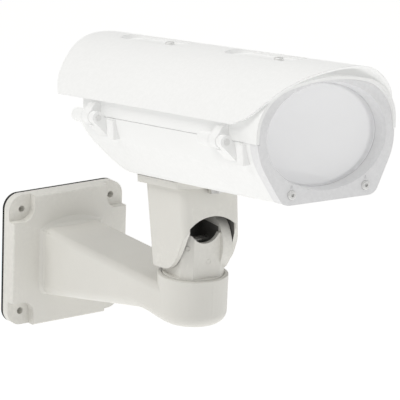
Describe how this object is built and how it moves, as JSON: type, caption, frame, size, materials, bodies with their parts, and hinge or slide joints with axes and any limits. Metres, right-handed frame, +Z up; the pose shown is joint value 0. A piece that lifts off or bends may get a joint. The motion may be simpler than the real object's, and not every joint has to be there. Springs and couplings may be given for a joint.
{
  "type": "pan-tilt security camera",
  "caption": "Outdoor camera housing with hinged cover, sunshield and oval window, on a hollow wall arm with a hand-set pan swivel and tilt yoke.",
  "frame": {"origin": "centre of the square of four wall bolts, on the back face of the wall gasket, which is the wall plane", "axes": "+X points straight out from the wall, +Z is up, +Y is to the right of someone facing the wall, which is the left side of the camera"},
  "size_m": [0.4968, 0.196, 0.3786],
  "materials": {
    "gasket_rubber": "matte",
    "casting_coat": "matte",
    "bottom_plug": "matte",
    "steel": "satin",
    "friction_discs": "matte",
    "swivel_nut": "satin",
    "housing_plastic": "satin",
    "bezel_plastic": "matte",
    "window": "polished",
    "inner_metal": "satin",
    "dark_plastic": "matte",
    "lens": "polished",
    "board_green": "satin",
    "terminal_plastic": "matte",
    "brass": "satin"
  },
  "bodies": {
    "wall_bracket": {"wall_gasket": "gasket_rubber", "bracket_casting": "casting_coat", "pan_lock_screw": "steel", "bottom_plug": "bottom_plug", "swivel_liner": "friction_discs"},
    "swivel": {"swivel_knuckle": "casting_coat", "swivel_washer": "steel", "swivel_ring_nut": "swivel_nut"},
    "tilt_head": {"yoke": "casting_coat", "tilt_bolt": "steel", "tilt_spring_washer": "steel", "tilt_friction_discs": "friction_discs", "tilt_lock_screw": "steel", "flange_bolts": "steel", "flange_nut": "steel", "yoke_gasket": "gasket_rubber", "lower_shell": "housing_plastic", "split_seal": "gasket_rubber", "hinge_pins": "steel", "front_bezel": "bezel_plastic", "window_gasket": "gasket_rubber", "window_glass": "window", "window_clamp": "inner_metal", "bezel_screws": "steel", "mounting_tray": "inner_metal", "cable_gland": "dark_plastic", "gland_locknut": "dark_plastic", "power_board": "board_green", "board_bracket": "inner_metal", "board_pillars": "brass", "terminal_block": "terminal_plastic", "heater": "inner_metal"},
    "top_cover": {"cover_shell": "housing_plastic", "cover_screws": "steel", "sunshield": "housing_plastic", "sunshield_spacers": "housing_plastic", "sunshield_screws": "steel"},
    "camera": {"camera_sled": "inner_metal", "camera_body": "dark_plastic", "lens_barrel": "dark_plastic", "lens_glass": "lens", "camera_connectors": "brass"},
    "focus_ring": {"focus_ring": "dark_plastic"}
  },
  "joints": [
    {"name": "pan", "type": "hinge", "parent": "wall_bracket", "child": "swivel", "pos_m": [0.24, 0, 0.073], "axis": [0, 0, 1], "range_deg": [-85.3, 94.7]},
    {"name": "tilt", "type": "hinge", "parent": "swivel", "child": "tilt_head", "pos_m": [0.24, 0, 0.073], "axis": [0.0819, 0.9966, 0], "range_deg": [-6.6, 68.4]},
    {"name": "cover_open", "type": "hinge", "parent": "tilt_head", "child": "top_cover", "pos_m": [0.23325, -0.08172, 0.20188], "axis": [0.9859, -0.0811, 0.1461], "range_deg": [0, 100]},
    {"name": "camera_slide", "type": "slide", "parent": "tilt_head", "child": "camera", "axis": [0.9859, -0.0811, 0.1461], "range_m": [-0.015, 0.04]},
    {"name": "focus_turn", "type": "hinge", "parent": "camera", "child": "focus_ring", "pos_m": [0.2966, -0.00465, 0.19359], "axis": [0.9859, -0.0811, 0.1461], "range_deg": [0, 90]}
  ]
}
